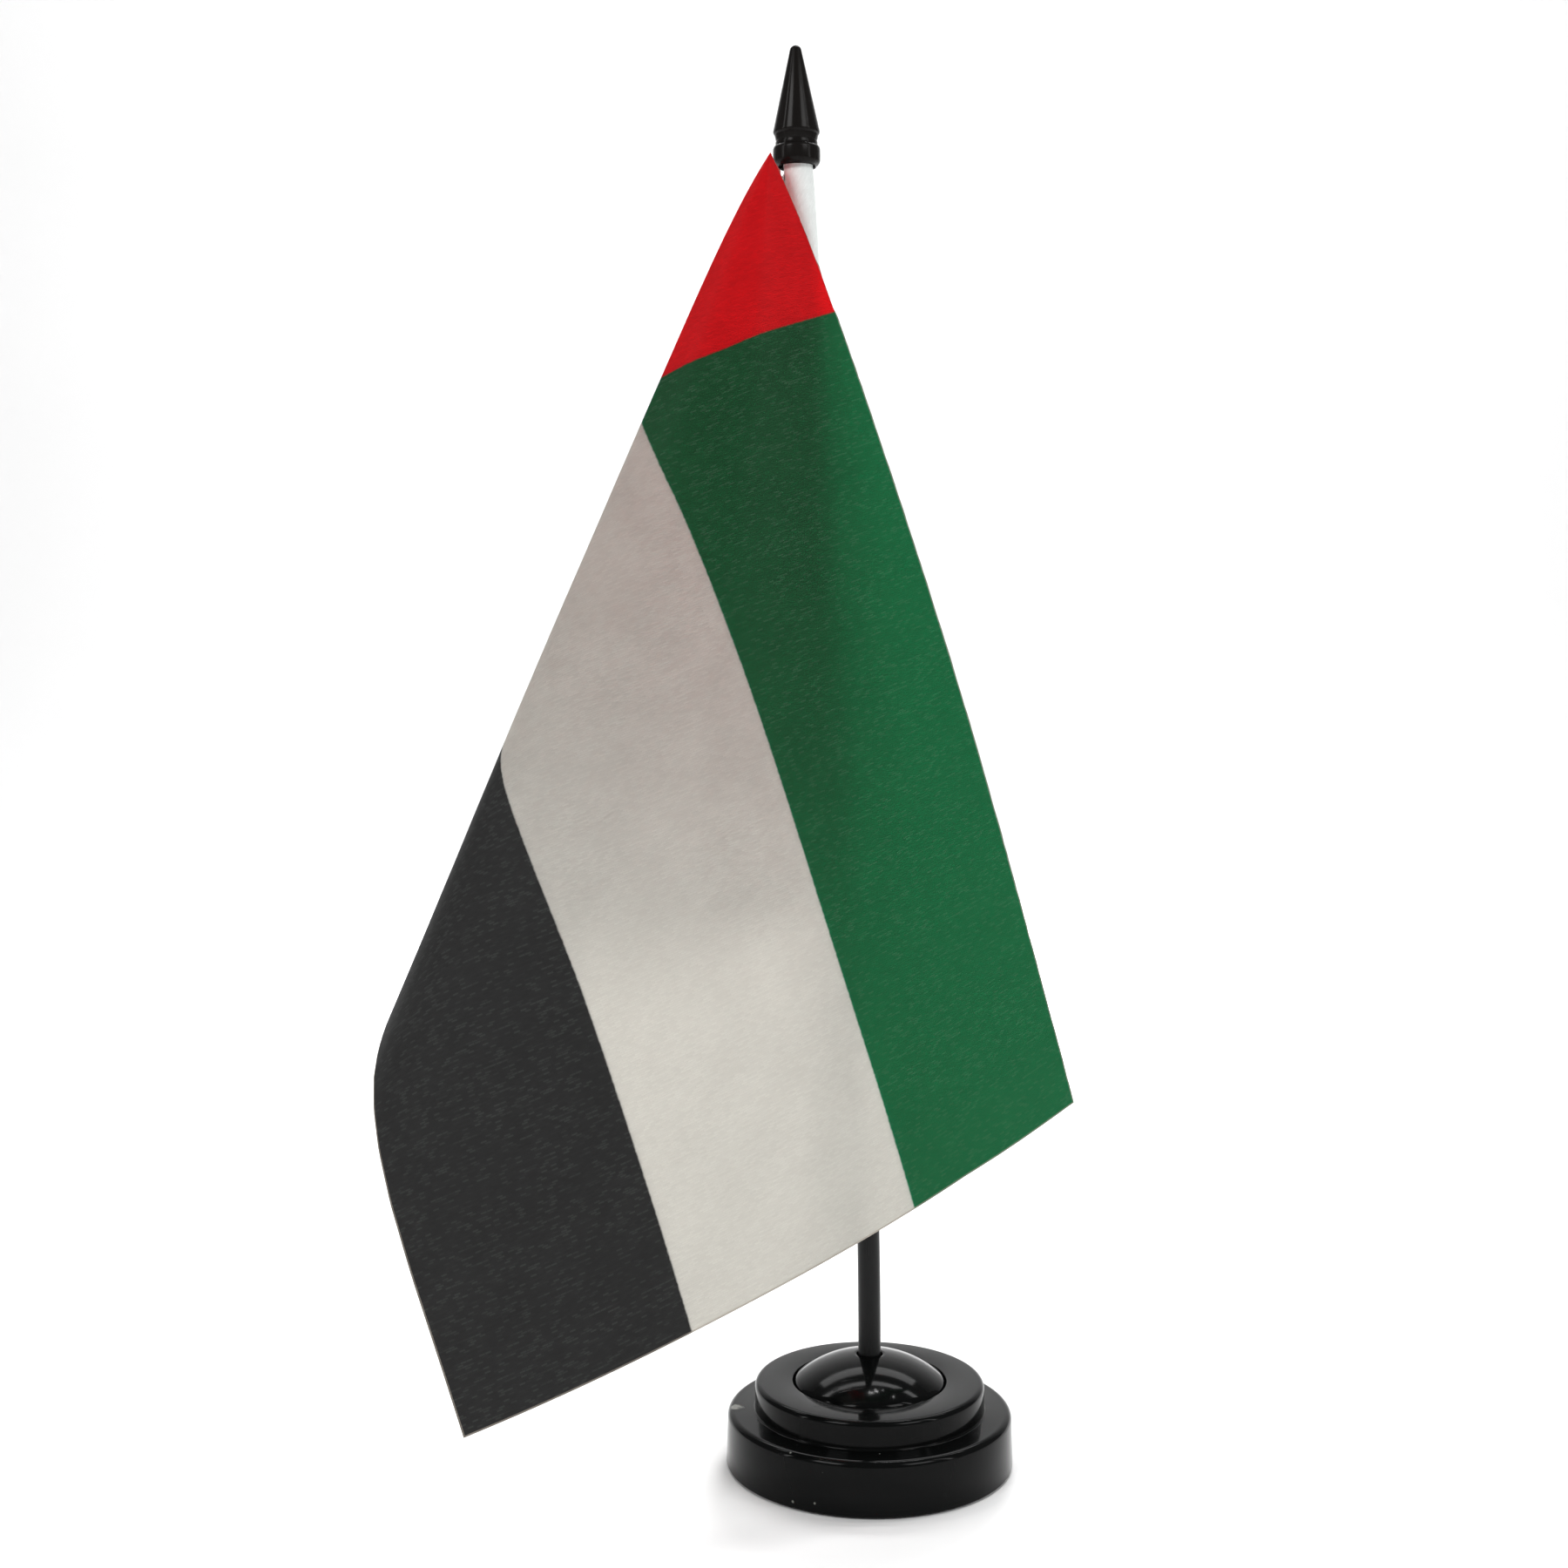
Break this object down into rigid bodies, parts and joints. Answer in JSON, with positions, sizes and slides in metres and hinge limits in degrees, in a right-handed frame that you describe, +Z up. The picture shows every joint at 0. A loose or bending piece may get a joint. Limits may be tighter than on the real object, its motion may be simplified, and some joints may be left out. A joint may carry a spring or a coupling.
{
  "type": "desk flag stand",
  "caption": "Table flag on a slim pole with a pointed finial, standing in a weighted two-tier round base with a domed cap; the pole turns and lifts out.",
  "frame": {"origin": "centre of the base's underside, on the table", "axes": "+Z up along the socket's axis, -Y to the front, where the folded flag hangs, +X to the right"},
  "size_m": [0.1402, 0.0839, 0.2913],
  "materials": {
    "felt": "dark grey needled felt",
    "cover_plastic": "moulded, fine texture",
    "natural_plastic": "undyed moulded plastic",
    "ballast_steel": "zinc plated, turned",
    "black_gloss": "moulded, high gloss",
    "black_satin": "extruded, satin",
    "white_cloth": "white polyester satin, sewn",
    "printed_cloth": "polyester satin printed in red, green, white and black bands"
  },
  "bodies": {
    "base": {"felt_pad": "felt", "bottom_cover": "cover_plastic", "socket_tube": "natural_plastic", "ballast_ring": "ballast_steel", "base_shell": "black_gloss", "dome_cap": "black_gloss"},
    "bush": {"socket_bush": "natural_plastic"},
    "pole": {"pole": "black_satin"},
    "finial": {"finial": "black_gloss"},
    "flag": {"flag_sleeve": "white_cloth", "flag_cloth": "printed_cloth", "sleeve_stitching": "white_cloth"}
  },
  "joints": [
    {"name": "pole_turn", "type": "hinge", "parent": "base", "child": "bush", "pos_m": [0, 0, 0.012], "axis": [0, 0, 1], "continuous": true},
    {"name": "pole_lift", "type": "slide", "parent": "bush", "child": "pole", "axis": [0, 0, 1], "range_m": [0, 0.018]},
    {"name": "finial_pull", "type": "slide", "parent": "pole", "child": "finial", "axis": [-0.0105, 0, 0.9999], "range_m": [0, 0.009]},
    {"name": "flag_turn", "type": "hinge", "parent": "pole", "child": "flag", "pos_m": [-0.0111, 0, 0.215], "axis": [-0.0767, 0, 0.9971], "continuous": true}
  ]
}
